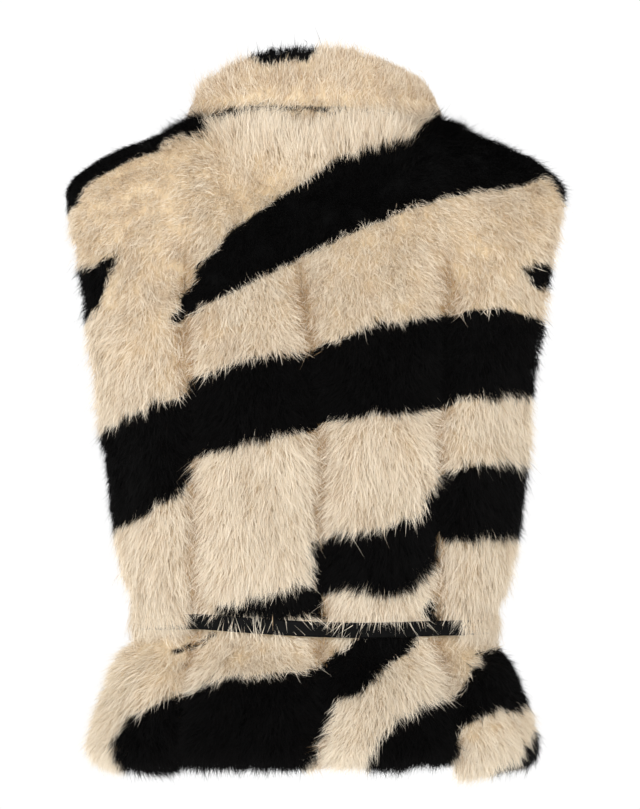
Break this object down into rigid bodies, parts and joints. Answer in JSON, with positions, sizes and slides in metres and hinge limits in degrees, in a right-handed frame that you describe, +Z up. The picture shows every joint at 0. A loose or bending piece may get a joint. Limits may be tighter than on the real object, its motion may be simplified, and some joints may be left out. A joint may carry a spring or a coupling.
{
  "type": "sleeveless fur jacket with a belt",
  "caption": "Hip-length sleeveless long-pile fur jacket, hollow as worn, with a soft rolled collar, open armholes, zebra-striped pile and a narrow leather belt at the waist.",
  "frame": {"origin": "midway between the two shoulders, level with the inside of the cloth at the neck, where the wearer carries the weight", "axes": "+Z up from hem to collar, +Y the way the wearer faces, +X towards the wearer's right"},
  "size_m": [0.438, 0.2789, 0.6265],
  "materials": {
    "fur": "long soft pile, cream with black stripes",
    "leather": "smooth black, semi-gloss",
    "metal": "darkened, satin"
  },
  "bodies": {
    "root": {"back_centre_left": "fur", "back_centre_right": "fur", "back_side_left": "fur", "back_side_right": "fur", "front_left": "fur", "front_right": "fur", "collar": "fur", "belt_strap": "leather", "belt_buckle": "metal", "belt_prong": "metal"}
  },
  "joints": []
}
